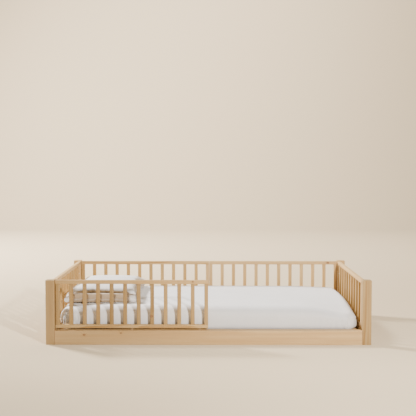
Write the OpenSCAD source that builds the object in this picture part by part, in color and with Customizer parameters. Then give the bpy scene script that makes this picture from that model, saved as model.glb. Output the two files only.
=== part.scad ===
// Toddler bed: a low pine floor bed with slatted guards, a made-up mattress and two pillows.
// X runs along the bed from the head end (-X) to the foot end, Y from the front to the back, Z up.
// The origin is on the floor, under the middle of the bed.

/* [Mattress] */
// Length of the mattress
mattress_l = 1900; // [1300:10:2100]
// Width of the mattress
mattress_w = 900; // [600:10:1400]
// Thickness of the mattress
mattress_h = 150; // [90:5:200]
// Free space between the mattress and the frame, on each side
mattress_gap = 15; // [8:1:25]
// Radius of the mattress's upright corners
mattress_corner = 55; // [35:5:90]
// Radius of the mattress's top and bottom edges
mattress_edge = 26; // [12:1:35]
// Thickness of the quilted cover that closes the mattress
cover_t = 10; // [4:1:20]
// Thickness of the fitted sheet
sheet_t = 1.2; // [0.8:0.1:2]
// How far the sheet is tucked in under the mattress
sheet_tuck = 90; // [40:10:150]

/* [Pillows] */
// Length of the lower pillow, across the bed
lower_pillow_l = 700; // [400:10:800]
// Width of the lower pillow, along the bed
lower_pillow_w = 470; // [300:10:500]
// Thickness of the lower pillow
lower_pillow_t = 70; // [30:1:100]
// Length of the upper pillow, across the bed
upper_pillow_l = 680; // [400:10:800]
// Width of the upper pillow, along the bed
upper_pillow_w = 445; // [300:10:500]
// Thickness of the upper pillow
upper_pillow_t = 52; // [30:1:120]
// Distance from the mattress's front edge to the lower pillow
pillow_front = 130; // [20:5:200]
// Distance from the mattress's head edge to the lower pillow
pillow_head = 6; // [0:1:60]
// How far the upper pillow is pushed towards the foot end, edge to edge
pillow_shift = 26; // [0:1:80]
// Thickness of a pillow's case
pillow_case_t = 3; // [1:0.5:6]

/* [Frame] */
// Side of a square corner post
post_w = 55; // [40:1:90]
// Height of a corner post
post_h = 407; // [300:1:600]
// Height of the lower boards
board_h = 90; // [80:1:160]
// Thickness of the lower boards
board_t = 55; // [40:1:90]
// Radius of the rounded edges of posts and boards
frame_round = 3; // [1:0.5:6]

/* [Guards] */
// Side of a square guard upright, and the depth of the guard rails
upright_w = 24; // [18:1:35]
// Height of a guard rail
rail_h = 24; // [20:1:40]
// Radius of the rounded edges of the guards
guard_round = 4; // [1:0.5:6]
// Widest gap allowed between two uprights
upright_gap_max = 67; // [45:1:90]
// Space under the guards, above the lower boards
guard_lift = 8; // [3:0.5:15]
// How far the guards' tops lie below the tops of the posts
guard_drop = 4; // [0:1:20]
// Space between the front guard and the post at the head end
front_gap = 2; // [1:0.5:20]
// Space between each rear guard and its post
rear_gap = 2.5; // [1:0.5:20]
// Space between the two rear guards
middle_gap = 2; // [1:0.5:10]
// Space between each end guard and the posts
end_gap = 3; // [2:0.5:20]
// Diameter of the round tenons on the uprights
tenon_d = 12; // [8:1:16]
// Length of the round tenons
tenon_l = 12; // [8:1:15]

/* [Slatted base] */
// Height of the top of the base slats above the floor
base_top = 75; // [60:1:85]
// Width of a base slat
slat_w = 70; // [50:1:100]
// Thickness of a base slat
slat_t = 18; // [12:1:25]
// Widest gap allowed between two base slats
slat_gap_max = 75; // [50:1:90]
// Space at the ends of the base, before the first and after the last slat
slat_margin = 10; // [4:1:30]
// Side of the square ledgers that carry the slats
ledger_w = 30; // [24:1:40]

/* [Fasteners] */
// Radial clearance of pegs, tenons and screws in their holes
fit_gap = 0.1; // [0.05:0.05:0.3]
// Diameter of the corner bolts
bolt_d = 8; // [6:1:10]
// Diameter of the corner bolts' flat heads
bolt_head_d = 17; // [13:1:20]
// Thickness of the corner bolts' heads
bolt_head_h = 3; // [2:0.5:4]
// Depth of the recess for a bolt head
bolt_recess = 4; // [3:0.5:6]
// How far into the board's end the barrel nut sits
nut_depth = 35; // [25:1:45]
// Diameter of the barrel nuts
nut_d = 14; // [12:1:16]
// Length of the barrel nuts
nut_l = 24; // [18:1:30]
// Diameter of the corner dowels
dowel_d = 10; // [8:1:10]
// Length of the corner dowels
dowel_l = 50; // [30:2:60]
// Diameter of the guard screws
guard_screw_d = 5; // [4:0.5:6]
// Length of the guard screws
guard_screw_l = 60; // [50:5:70]
// Diameter of the ledger screws
ledger_screw_d = 4.5; // [3.5:0.5:5]
// Length of the ledger screws
ledger_screw_l = 50; // [45:5:60]
// Diameter of the base slat screws
slat_screw_d = 3.5; // [3:0.5:4.5]
// How far the base slat screws go into the ledgers
slat_screw_bite = 20; // [12:1:24]
// Outer diameter of the rubber spacers around the guard screws
spacer_d = 14; // [10:1:20]

/* [Hidden] */
$fn = 48;
tiny = 0.01;
touch_gap = 0.3;             // air between pieces that lift off each other
skin_gap = 0.1;              // between the sheet and the mattress
screw_head_ratio = 1.9;      // head diameter over shaft diameter
slat_end_gap = 2;            // base slats to the boards' inner faces
ledger_end_gap = 5;          // ledgers to the posts
bolt_past_nut = 10;          // bolt end past the barrel nut's axis
end_screw_step = 25;         // end guards' screws pass under the long guards' in the posts
stile_screw_drop = 40;       // long guards' upper screws below their top rails
dowel_z = [17, 73] / 90 * board_h;       // dowels of the long boards
end_dowel_z = [30, 60] / 90 * board_h;   // dowels of the end boards
bolt_z = board_h / 2;

inner_l = mattress_l + 2 * mattress_gap;
inner_w = mattress_w + 2 * mattress_gap;
outer_l = inner_l + 2 * post_w;
outer_w = inner_w + 2 * post_w;
long_board_y = inner_w / 2 + board_t / 2;
end_board_x = inner_l / 2 + board_t / 2;

// the mattress and what lies on it
mattress_z = base_top + touch_gap + sheet_t + skin_gap;
sheet_grow = skin_gap + sheet_t;
sheet_top = mattress_z + mattress_h + sheet_grow;
lower_pillow_pos = [-mattress_l / 2 + pillow_head + lower_pillow_w / 2,
                    -mattress_w / 2 + pillow_front + lower_pillow_l / 2,
                    sheet_top + touch_gap];
upper_pillow_pos = [-mattress_l / 2 + pillow_head + pillow_shift + upper_pillow_w / 2,
                    lower_pillow_pos[1],
                    lower_pillow_pos[2] + lower_pillow_t + touch_gap];

// the guards, numbered as in guard_names
guard_names = ["front_guard", "rear_left_guard", "rear_right_guard",
               "head_guard", "foot_guard"];
guard_z = board_h + guard_lift;
guard_h = post_h - guard_drop - guard_z;
guard_y = inner_w / 2 + upright_w / 2;   // flush with the inner faces of the posts
guard_x = inner_l / 2 + upright_w / 2;
long_guard_l = inner_l / 2 - rear_gap - middle_gap / 2;
end_guard_l = inner_w - 2 * end_gap;
upright_l = guard_h - 2 * rail_h;
function guard_l(g) = g < 3 ? long_guard_l : end_guard_l;
function upright_n(g) = ceil((guard_l(g) - upright_w) / (upright_w + upright_gap_max)) + 1;
function upright_pitch(g) = (guard_l(g) - upright_w) / (upright_n(g) - 1);
function upright_x(g, i) = upright_w / 2 + i * upright_pitch(g);
// the gap to the post at a guard's near end and far end, 0 where it ends free
function near_gap(g) = [front_gap, rear_gap, 0, end_gap, end_gap][g];
function far_gap(g) = [0, 0, rear_gap, end_gap, end_gap][g];
// the spans between uprights that hold a screw down into the board
function rail_screw_spans(g) = [0, floor((upright_n(g) - 1) / 2), upright_n(g) - 2];
function rail_screw_x(g) = [for (i = rail_screw_spans(g)) upright_x(g, i + 0.5)];
function stile_screw_z(g) = guard_h - rail_h - stile_screw_drop - (g < 3 ? 0 : end_screw_step);

// the slatted base
slat_run = inner_l - 2 * slat_margin - slat_w;
slat_n = ceil(slat_run / (slat_w + slat_gap_max)) + 1;
slat_pitch = slat_run / (slat_n - 1);
slat_l = inner_w - 2 * slat_end_gap;
ledger_l = inner_l - 2 * ledger_end_gap;
ledger_top = base_top - slat_t;
ledger_y = inner_w / 2 - ledger_w / 2;
function slat_x(i) = -slat_run / 2 + i * slat_pitch;
ledger_screw_x = [for (i = [0:2:slat_n - 2]) slat_x(i) + slat_pitch / 2];

guard_pieces = ["_top_rail", "_bottom_rail", "_near_stile", "_far_stile", "_slats"];

// ---- shapes that repeat ----

module rounded_rect(w, h, r) {
    square([w - 2 * r, h], center = true);
    square([w, h - 2 * r], center = true);
    for (x = [-1, 1], y = [-1, 1])
        translate([x * (w / 2 - r), y * (h / 2 - r)]) circle(r = r);
}

// bars with rounded long edges, centred on the origin
module bar_x(l, w, h, r) {
    translate([-l / 2, 0, 0]) rotate([90, 0, 90]) linear_extrude(l) rounded_rect(w, h, r);
}

module bar_y(l, w, h, r) {
    rotate([0, 0, 90]) bar_x(l, w, h, r);
}

module bar_z(l, w, h, r) {
    translate([0, 0, -l / 2]) linear_extrude(l) rounded_rect(w, h, r);
}

// a block with rounded upright corners and rounded top and bottom edges
module soft_block(l, w, h, corner, edge) {
    intersection() {
        bar_z(h, l, w, corner);
        bar_x(l, w, h, edge);
        bar_y(w, l, h, edge);
    }
}

// a countersunk screw: the head's flat face is at the origin and the shaft points to -Z
module screw(d, l, grow = 0) {
    head_d = d * screw_head_ratio;
    head_h = (head_d - d) / 2;
    translate([0, 0, -l - grow]) cylinder(h = l + grow, d = d + 2 * grow);
    translate([0, 0, -head_h]) cylinder(h = head_h, d1 = d + 2 * grow, d2 = head_d + 2 * grow);
    if (grow > 0) cylinder(h = 1, d = head_d + 2 * grow);
}

// a ring of rubber of height h standing on the origin
module spacer(h) {
    difference() {
        cylinder(h = h, d = spacer_d);
        translate([0, 0, -1]) cylinder(h = h + 2, d = guard_screw_d + 4 * fit_gap);
    }
}

// ---- corner joints ----

// sx is -1 at the head end and 1 at the foot end, sy is -1 at the front and 1 at the back
module corner_bolt_shape(sx, sy, grow = 0) {
    translate([sx * inner_l / 2, sy * long_board_y, bolt_z]) rotate([0, sx * 90, 0]) {
        reach = nut_depth + bolt_past_nut;
        under_head = post_w - bolt_recess;
        translate([0, 0, -reach - grow])
            cylinder(h = reach + under_head + grow, d = bolt_d + 4 * grow);
        translate([0, 0, under_head])
            cylinder(h = grow > 0 ? bolt_recess + 1 : bolt_head_h, d = bolt_head_d + 20 * grow);
    }
}

module barrel_nut_shape(sx, sy, grow = 0) {
    length = grow > 0 ? nut_l / 2 + board_t / 2 + 1 : nut_l;
    from_board_middle = grow > 0 ? -nut_l / 2 - grow : -nut_l / 2;
    translate([sx * (inner_l / 2 - nut_depth), sy * long_board_y, bolt_z])
        rotate([sy * 90, 0, 0])
            translate([0, 0, from_board_middle]) cylinder(h = length + grow, d = nut_d + 2 * grow);
}

module dowel_shape(grow = 0) {
    cylinder(h = dowel_l + 2 * grow, d = dowel_d + 2 * grow, center = true);
}

module long_dowels(sx, sy, grow = 0) {
    for (z = dowel_z)
        translate([sx * inner_l / 2, sy * long_board_y, z]) rotate([0, 90, 0]) dowel_shape(grow);
}

module end_dowels(sx, sy, grow = 0) {
    for (z = end_dowel_z)
        translate([sx * end_board_x, sy * inner_w / 2, z]) rotate([90, 0, 0]) dowel_shape(grow);
}

// ---- where each guard stands: local X runs along it, from its near end, and Z up ----

module at_guard(g) {
    long_x = [-inner_l / 2 + front_gap, -inner_l / 2 + rear_gap, middle_gap / 2];
    if (g < 3)
        translate([long_x[g], g == 0 ? -guard_y : guard_y, guard_z]) children();
    else
        translate([g == 3 ? -guard_x : guard_x, -end_guard_l / 2, guard_z])
            rotate([0, 0, 90]) children();
}

module guard_screw_set(g, grow = 0) {
    for (x = rail_screw_x(g))
        translate([x, 0, rail_h]) screw(guard_screw_d, guard_screw_l, grow);
    if (near_gap(g) > 0)
        translate([upright_w, 0, stile_screw_z(g)]) rotate([0, 90, 0])
            screw(guard_screw_d, guard_screw_l, grow);
    if (far_gap(g) > 0)
        translate([guard_l(g) - upright_w, 0, stile_screw_z(g)]) rotate([0, -90, 0])
            screw(guard_screw_d, guard_screw_l, grow);
}

module guard_screw_holes(g) {
    at_guard(g) guard_screw_set(g, fit_gap);
}

// ---- posts, boards and base ----

module post_block() {
    intersection() {
        bar_z(post_h, post_w, post_w, frame_round);
        // the top edges are rounded both ways, the foot stays square
        translate([0, 0, -post_h / 2]) bar_x(post_w, post_w, 2 * post_h, frame_round);
        translate([0, 0, -post_h / 2]) bar_y(post_w, post_w, 2 * post_h, frame_round);
    }
}

module post(sx, sy, guards) {
    color("burlywood") difference() {
        translate([sx * (outer_l - post_w) / 2, sy * (outer_w - post_w) / 2, post_h / 2])
            post_block();
        corner_bolt_shape(sx, sy, fit_gap);
        long_dowels(sx, sy, fit_gap);
        end_dowels(sx, sy, fit_gap);
        for (g = guards) guard_screw_holes(g);
    }
}

module front_left_post() { post(-1, -1, [0, 3]); }
module front_right_post() { post(1, -1, [4]); }
module rear_left_post() { post(-1, 1, [1, 3]); }
module rear_right_post() { post(1, 1, [2, 4]); }

module long_board(sy, guards) {
    color("burlywood") difference() {
        translate([0, sy * long_board_y, board_h / 2]) bar_x(inner_l, board_t, board_h, frame_round);
        for (sx = [-1, 1]) {
            corner_bolt_shape(sx, sy, fit_gap);
            barrel_nut_shape(sx, sy, fit_gap);
            long_dowels(sx, sy, fit_gap);
        }
        ledger_screw_set(sy, fit_gap);
        for (g = guards) guard_screw_holes(g);
    }
}

module front_board() { long_board(-1, [0]); }
module rear_board() { long_board(1, [1, 2]); }

module end_board(sx, g) {
    color("burlywood") difference() {
        translate([sx * end_board_x, 0, board_h / 2]) bar_y(inner_w, board_t, board_h, frame_round);
        for (sy = [-1, 1]) end_dowels(sx, sy, fit_gap);
        guard_screw_holes(g);
    }
}

module head_board() { end_board(-1, 3); }
module foot_board() { end_board(1, 4); }

module ledger_screw_set(sy, grow = 0) {
    for (x = ledger_screw_x)
        translate([x, sy * (inner_w / 2 - ledger_w), ledger_top - ledger_w / 2])
            rotate([sy * 90, 0, 0]) screw(ledger_screw_d, ledger_screw_l, grow);
}

module slat_screw_pair(i, grow = 0) {
    for (sy = [-1, 1])
        translate([slat_x(i), sy * ledger_y, base_top])
            screw(slat_screw_d, slat_t + slat_screw_bite, grow);
}

module ledger(sy) {
    color("tan") difference() {
        translate([0, sy * ledger_y, ledger_top - ledger_w / 2])
            bar_x(ledger_l, ledger_w, ledger_w, frame_round / 2);
        ledger_screw_set(sy, fit_gap);
        for (i = [0:slat_n - 1]) slat_screw_pair(i, fit_gap);
    }
}

module front_ledger() { ledger(-1); }
module rear_ledger() { ledger(1); }

module base_slat(i) {
    color("wheat") difference() {
        translate([slat_x(i), 0, base_top - slat_t / 2])
            bar_y(slat_l, slat_w, slat_t, frame_round / 2);
        slat_screw_pair(i, fit_gap);
    }
}

// ---- guards ----

module mortises(g, z, grow) {
    for (i = [0:upright_n(g) - 1])
        translate([upright_x(g, i), 0, z])
            cylinder(h = tenon_l + grow, d = tenon_d + 2 * grow);
}

module guard_rail(g, z) {
    translate([guard_l(g) / 2, 0, z + rail_h / 2])
        bar_x(guard_l(g), upright_w, rail_h, guard_round);
}

module top_rail(g) {
    color("burlywood") at_guard(g) difference() {
        guard_rail(g, guard_h - rail_h);
        translate([0, 0, -tiny]) mortises(g, guard_h - rail_h, fit_gap + tiny);
    }
}

module bottom_rail(g) {
    color("burlywood") at_guard(g) difference() {
        guard_rail(g, 0);
        mortises(g, rail_h - tenon_l - fit_gap, fit_gap);
        guard_screw_set(g, fit_gap);
    }
}

module upright() {
    translate([0, 0, guard_h / 2]) bar_z(upright_l, upright_w, upright_w, guard_round);
    translate([0, 0, rail_h - tenon_l]) cylinder(h = upright_l + 2 * tenon_l, d = tenon_d);
}

module stile(g, i) {
    color("burlywood") at_guard(g) difference() {
        translate([upright_x(g, i), 0, 0]) upright();
        guard_screw_set(g, fit_gap);
    }
}

module guard_slats(g) {
    color("burlywood") at_guard(g)
        for (i = [1:upright_n(g) - 2]) translate([upright_x(g, i), 0, 0]) upright();
}

// ---- bedding ----

module mattress_body(inset) {
    translate([0, 0, mattress_z + mattress_h / 2])
        soft_block(mattress_l - 2 * inset, mattress_w - 2 * inset, mattress_h - 2 * inset,
                   mattress_corner - inset, mattress_edge - inset);
}

module mattress() {
    color("whitesmoke") difference() {
        mattress_body(0);
        mattress_body(cover_t);
    }
}

// a plain prism around the mattress, as far out as the sheet or as its inner face
module sheet_block(grow) {
    translate([0, 0, mattress_z + mattress_h / 2])
        bar_z(mattress_h + 2 * grow, mattress_l + 2 * grow, mattress_w + 2 * grow,
              mattress_corner + grow);
}

module fitted_sheet() {
    opening_l = mattress_l - 2 * sheet_tuck;
    opening_w = mattress_w - 2 * sheet_tuck;
    color("white") difference() {
        sheet_block(sheet_grow);
        sheet_block(skin_gap);
        translate([0, 0, mattress_z]) bar_z(mattress_h, opening_l, opening_w, mattress_corner);
    }
}

module pillow_plate(w, l, z, t) {
    translate([0, 0, z]) bar_z(t, w, l, w / 9, $fn = 32);
}

// a closed pillow standing on the origin, full at mid height and narrower above and below
module pillow_body(w, l, t, inset) {
    slope = 0.8 * t;
    hull() {
        pillow_plate(w - slope - 2 * inset, l - slope - 2 * inset, inset + 0.5, 1);
        pillow_plate(w - 2 * inset, l - 2 * inset, t / 2, 0.16 * t);
        pillow_plate(w - slope - 2 * inset, l - slope - 2 * inset, t - inset - 0.5, 1);
    }
}

module pillow(w, l, t) {
    difference() {
        pillow_body(w, l, t, 0);
        pillow_body(w, l, t, pillow_case_t);
    }
}

module lower_pillow() {
    color("white") translate(lower_pillow_pos) pillow(lower_pillow_w, lower_pillow_l, lower_pillow_t);
}

module upper_pillow() {
    color("white") translate(upper_pillow_pos) pillow(upper_pillow_w, upper_pillow_l, upper_pillow_t);
}

// ---- fasteners ----

module corner_bolts() {
    color("silver") for (sx = [-1, 1], sy = [-1, 1]) corner_bolt_shape(sx, sy);
}

module barrel_nuts() {
    color("silver") for (sx = [-1, 1], sy = [-1, 1]) difference() {
        barrel_nut_shape(sx, sy);
        corner_bolt_shape(sx, sy, fit_gap);
    }
}

module corner_dowels() {
    color("peru") for (sx = [-1, 1], sy = [-1, 1]) {
        long_dowels(sx, sy);
        end_dowels(sx, sy);
    }
}

module ledger_screws() {
    color("silver") for (sy = [-1, 1]) ledger_screw_set(sy);
}

module base_slat_screws() {
    color("silver") for (i = [0:slat_n - 1]) slat_screw_pair(i);
}

module guard_screws() {
    color("silver") for (g = [0:4]) at_guard(g) guard_screw_set(g);
}

module guard_spacers() {
    color("saddlebrown") for (g = [0:4]) at_guard(g) {
        for (x = rail_screw_x(g)) translate([x, 0, -guard_lift]) spacer(guard_lift);
        if (near_gap(g) > 0)
            translate([-near_gap(g), 0, stile_screw_z(g)]) rotate([0, 90, 0]) spacer(near_gap(g));
        if (far_gap(g) > 0)
            translate([guard_l(g), 0, stile_screw_z(g)]) rotate([0, 90, 0]) spacer(far_gap(g));
    }
}

front_left_post();
front_right_post();
rear_left_post();
rear_right_post();
front_board();
rear_board();
head_board();
foot_board();
front_ledger();
rear_ledger();
for (i = [1:slat_n])
    base_slat(i - 1);
for (g = [0:4]) {
    top_rail(g);
    bottom_rail(g);
    stile(g, 0);
    stile(g, upright_n(g) - 1);
    guard_slats(g);
}
mattress();
fitted_sheet();
lower_pillow();
upper_pillow();
corner_bolts();
barrel_nuts();
corner_dowels();
ledger_screws();
base_slat_screws();
guard_screws();
guard_spacers();
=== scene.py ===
import bpy
import bmesh
import math
import random
from mathutils import Euler, Matrix, Vector, noise
from mathutils.bvhtree import BVHTree


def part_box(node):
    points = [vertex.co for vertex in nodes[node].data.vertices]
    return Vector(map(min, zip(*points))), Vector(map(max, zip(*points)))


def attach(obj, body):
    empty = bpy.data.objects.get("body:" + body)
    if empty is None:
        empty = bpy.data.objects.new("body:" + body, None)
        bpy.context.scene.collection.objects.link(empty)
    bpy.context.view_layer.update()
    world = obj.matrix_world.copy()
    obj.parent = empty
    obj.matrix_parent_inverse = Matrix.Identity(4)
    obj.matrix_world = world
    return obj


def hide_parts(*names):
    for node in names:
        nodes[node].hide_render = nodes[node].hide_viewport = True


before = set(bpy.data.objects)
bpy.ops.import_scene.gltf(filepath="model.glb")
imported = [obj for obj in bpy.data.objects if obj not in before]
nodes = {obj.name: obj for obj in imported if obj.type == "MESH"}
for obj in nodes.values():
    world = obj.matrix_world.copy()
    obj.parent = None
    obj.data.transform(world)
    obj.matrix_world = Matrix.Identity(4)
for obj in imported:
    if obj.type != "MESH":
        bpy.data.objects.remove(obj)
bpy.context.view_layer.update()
print("frame loaded:", len(nodes), "CAD nodes")


def feed(tree, socket, value):
    # another node's socket is linked, any other value is set
    if isinstance(value, bpy.types.NodeSocket):
        tree.links.new(value, socket)
    else:
        socket.default_value = value


def addNode(tree, kind, column, row, inputs=None, **settings):
    node = tree.nodes.new(kind)
    node.location = (column * 190, row * -170)
    for key, value in settings.items():
        setattr(node, key, value)
    for key, value in (inputs or {}).items():
        feed(tree, node.inputs[key], value)
    return node


def calc(tree, operation, column, row, first, second=None, third=None, clamp=False):
    inputs = {0: first}
    if second is not None:
        inputs[1] = second
    if third is not None:
        inputs[2] = third
    node = addNode(tree, "ShaderNodeMath", column, row, inputs, operation=operation, use_clamp=clamp)
    return node.outputs[0]


def vectorCalc(tree, operation, column, row, first, second=None):
    inputs = {0: first}
    if second is not None:
        inputs[1] = second
    node = addNode(tree, "ShaderNodeVectorMath", column, row, inputs, operation=operation)
    return node.outputs[1 if operation in ("LENGTH", "DISTANCE") else 0]


def smoothStep(tree, column, row, value, start, end):
    node = addNode(tree, "ShaderNodeMapRange", column, row,
                   {"Value": value, "From Min": start, "From Max": end}, interpolation_type="SMOOTHSTEP")
    return node.outputs["Result"]


def mixColour(tree, column, row, factor, first, second):
    node = addNode(tree, "ShaderNodeMix", column, row, data_type="RGBA")
    feed(tree, node.inputs[0], factor)
    feed(tree, node.inputs[6], first)
    feed(tree, node.inputs[7], second)
    return node.outputs[2]


def stretchedNoise(tree, column, row, vector, stretch, detail, roughness=0.5):
    longer = vectorCalc(tree, "MULTIPLY", column, row, vector, stretch)
    inputs = {"Vector": longer, "Scale": 1.0, "Detail": detail, "Roughness": roughness}
    return addNode(tree, "ShaderNodeTexNoise", column + 1, row, inputs).outputs


def plainNoise(tree, column, row, vector, scale, detail):
    inputs = {"Vector": vector, "Scale": scale, "Detail": detail}
    return addNode(tree, "ShaderNodeTexNoise", column, row, inputs).outputs[0]


def addBump(tree, shader, column, row, height, strength, distance):
    bump = addNode(tree, "ShaderNodeBump", column, row,
                   {"Strength": strength, "Distance": distance, "Height": height})
    tree.links.new(bump.outputs[0], shader.inputs["Normal"])


def newGroup(name, inputs, outputs):
    group = bpy.data.node_groups.new(name, "ShaderNodeTree")
    kinds = {"V": "NodeSocketVector", "F": "NodeSocketFloat"}
    for label, kind in inputs:
        group.interface.new_socket(label, in_out="INPUT", socket_type=kinds[kind])
    for label, kind in outputs:
        group.interface.new_socket(label, in_out="OUTPUT", socket_type=kinds[kind])
    start = group.nodes.new("NodeGroupInput")
    start.location = (-400, 0)
    end = group.nodes.new("NodeGroupOutput")
    end.location = (2400, 0)
    return group, start.outputs, end.inputs


def placeGroup(tree, group, column, row, inputs):
    return addNode(tree, "ShaderNodeGroup", column, row, inputs, node_tree=group).outputs


def newMaterial(name, inputs):
    material = bpy.data.materials.new(name)
    material.use_nodes = True
    tree = material.node_tree
    shader = tree.nodes["Principled BSDF"]
    shader.location = (2600, 0)
    for key, value in inputs.items():
        shader.inputs[key].default_value = value
    return material, tree, shader


def setMaterial(obj, material):
    obj.data.materials.clear()
    obj.data.materials.append(material)


# each stretch: along the grain, then twice across it
pineFigureShape = {
    "sway": (0.9, 5.0, 5.0),
    "fibre": (7.0, 420.0, 420.0),
    "streak": (1.6, 34.0, 34.0),
    "pores": (45.0, 900.0, 900.0),
    "swayDepth": 0.030,
    "yearScale": 55.0,      # how fast wide and narrow years follow each other
    "yearDrift": 2.2,
    "lateFrom": 0.35,       # share of a ring where the late wood starts, and where it is darkest
    "lateTo": 0.93,
    "palest": 0.35,         # late wood of the weakest year
}


def buildPineFigure(shape):
    # growth rings around a pith that lies beside the piece, grain along X
    group, start, end = newGroup(
        "pineFigure",
        [("Vector", "V"), ("Pith Y", "F"), ("Pith Z", "F"), ("Ring Width", "F"), ("Bend", "F")],
        [("Late Wood", "F"), ("Fibre", "F"), ("Streak", "F"), ("Pores", "F")])
    sway = stretchedNoise(group, 0, 0, start["Vector"], shape["sway"], 2.0, 0.45)["Color"]
    swaySplit = addNode(group, "ShaderNodeSeparateXYZ", 2, 0, {0: sway}).outputs
    split = addNode(group, "ShaderNodeSeparateXYZ", 0, 2, {0: start["Vector"]}).outputs
    acrossY = calc(group, "SUBTRACT", 1, 2, split[1], start["Pith Y"])
    acrossZ = calc(group, "SUBTRACT", 1, 3, split[2], start["Pith Z"])
    swayY = calc(group, "MULTIPLY_ADD", 3, 2, swaySplit[0], shape["swayDepth"], acrossY)
    swayZ = calc(group, "MULTIPLY_ADD", 3, 3, swaySplit[1], shape["swayDepth"], acrossZ)
    squareZ = calc(group, "MULTIPLY", 4, 3, swayZ, swayZ)
    square = calc(group, "MULTIPLY_ADD", 5, 2, swayY, swayY, squareZ)
    radius = calc(group, "ADD", 7, 2, calc(group, "SQRT", 6, 2, square), start["Bend"])
    years = addNode(group, "ShaderNodeTexNoise", 8, 4,
                    {"W": radius, "Scale": shape["yearScale"], "Detail": 1.0},
                    noise_dimensions="1D").outputs[0]
    turns = calc(group, "DIVIDE", 8, 2, radius, start["Ring Width"])
    turns = calc(group, "MULTIPLY_ADD", 9, 2, years, shape["yearDrift"], turns)
    part = calc(group, "FRACT", 10, 2, turns)
    rise = smoothStep(group, 11, 2, part, shape["lateFrom"], shape["lateTo"])
    fall = smoothStep(group, 11, 3, part, 1.0, shape["lateTo"])
    strength = smoothStep(group, 11, 4, years, 0.30, 0.66)
    strength = calc(group, "MULTIPLY_ADD", 12, 4, strength, 1 - shape["palest"], shape["palest"])
    late = calc(group, "MULTIPLY", 13, 2, calc(group, "MULTIPLY", 12, 2, rise, fall), strength)
    group.links.new(late, end["Late Wood"])
    fibre = stretchedNoise(group, 0, 6, start["Vector"], shape["fibre"], 3.0, 0.6)[0]
    group.links.new(fibre, end["Fibre"])
    streak = stretchedNoise(group, 0, 8, start["Vector"], shape["streak"], 3.0, 0.55)[0]
    group.links.new(streak, end["Streak"])
    dash = stretchedNoise(group, 0, 10, start["Vector"], shape["pores"], 1.0)[0]
    group.links.new(smoothStep(group, 2, 10, dash, 0.64, 0.76), end["Pores"])
    return group


# reaches are shares of the knot's own radius
knotMarkShape = {
    "squash": (0.72, 0.72, 1.0),
    "raggedScale": 90.0,
    "ragged": 0.5,
    "core": (1.05, 0.75),
    "rimInside": (0.6, 0.95),
    "rimOutside": (1.35, 1.0),
    "halo": (4.2, 0.6),
}


def buildKnotMark(shape):
    # one branch knot that runs through the piece along Across
    group, start, end = newGroup(
        "knotMark",
        [("Vector", "V"), ("Centre", "V"), ("Across", "V"), ("Radius", "F")],
        [("Core", "F"), ("Rim", "F"), ("Halo", "F")])
    away = vectorCalc(group, "SUBTRACT", 0, 0, start["Vector"], start["Centre"])
    depth = vectorCalc(group, "PROJECT", 1, 1, away, start["Across"])
    flat = vectorCalc(group, "SUBTRACT", 2, 0, away, depth)
    flat = vectorCalc(group, "MULTIPLY", 3, 0, flat, shape["squash"])
    rough = plainNoise(group, 2, 2, start["Vector"], shape["raggedScale"], 2.0)
    rough = calc(group, "MULTIPLY_ADD", 5, 2, rough, shape["ragged"], -shape["ragged"] / 2)
    share = calc(group, "DIVIDE", 5, 0, vectorCalc(group, "LENGTH", 4, 0, flat), start["Radius"])
    share = calc(group, "ADD", 6, 0, share, rough)
    group.links.new(smoothStep(group, 7, 0, share, *shape["core"]), end["Core"])
    inner = smoothStep(group, 7, 1, share, *shape["rimInside"])
    outer = smoothStep(group, 7, 2, share, *shape["rimOutside"])
    group.links.new(calc(group, "MULTIPLY", 8, 1, inner, outer), end["Rim"])
    group.links.new(smoothStep(group, 7, 3, share, *shape["halo"]), end["Halo"])
    return group


def buildWeave():
    # plain weave on flat cloth coordinates in metres, with a slub: a thread that thickens here and there
    group, start, end = newGroup("plainWeave", [("Vector", "V"), ("Thread", "F")],
                                 [("Height", "F"), ("Slub", "F")])
    split = addNode(group, "ShaderNodeSeparateXYZ", 0, 0, {0: start["Vector"]}).outputs
    turn = calc(group, "DIVIDE", 1, 3, math.pi, start["Thread"])
    warp = calc(group, "SINE", 3, 0, calc(group, "MULTIPLY", 2, 0, split[0], turn))
    weft = calc(group, "SINE", 3, 1, calc(group, "MULTIPLY", 2, 1, split[1], turn))
    cross = calc(group, "MULTIPLY", 3, 2, warp, weft)
    group.links.new(calc(group, "MULTIPLY_ADD", 4, 0, cross, 0.5, 0.5), end["Height"])
    slubX = stretchedNoise(group, 1, 5, start["Vector"], (14.0, 900.0, 1.0), 1.0)[0]
    slubY = stretchedNoise(group, 1, 6, start["Vector"], (900.0, 14.0, 1.0), 1.0)[0]
    slubs = calc(group, "ADD", 3, 6, slubX, slubY)
    group.links.new(calc(group, "MULTIPLY", 4, 5, slubs, 0.5), end["Slub"])
    return group


pineFigure = buildPineFigure(pineFigureShape)
knotMark = buildKnotMark(knotMarkShape)
plainWeave = buildWeave()
grainTurn = {"X": (0.0, 0.0, 0.0), "Y": (0.0, 0.0, -math.pi / 2), "Z": (0.0, math.pi / 2, 0.0)}

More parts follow.
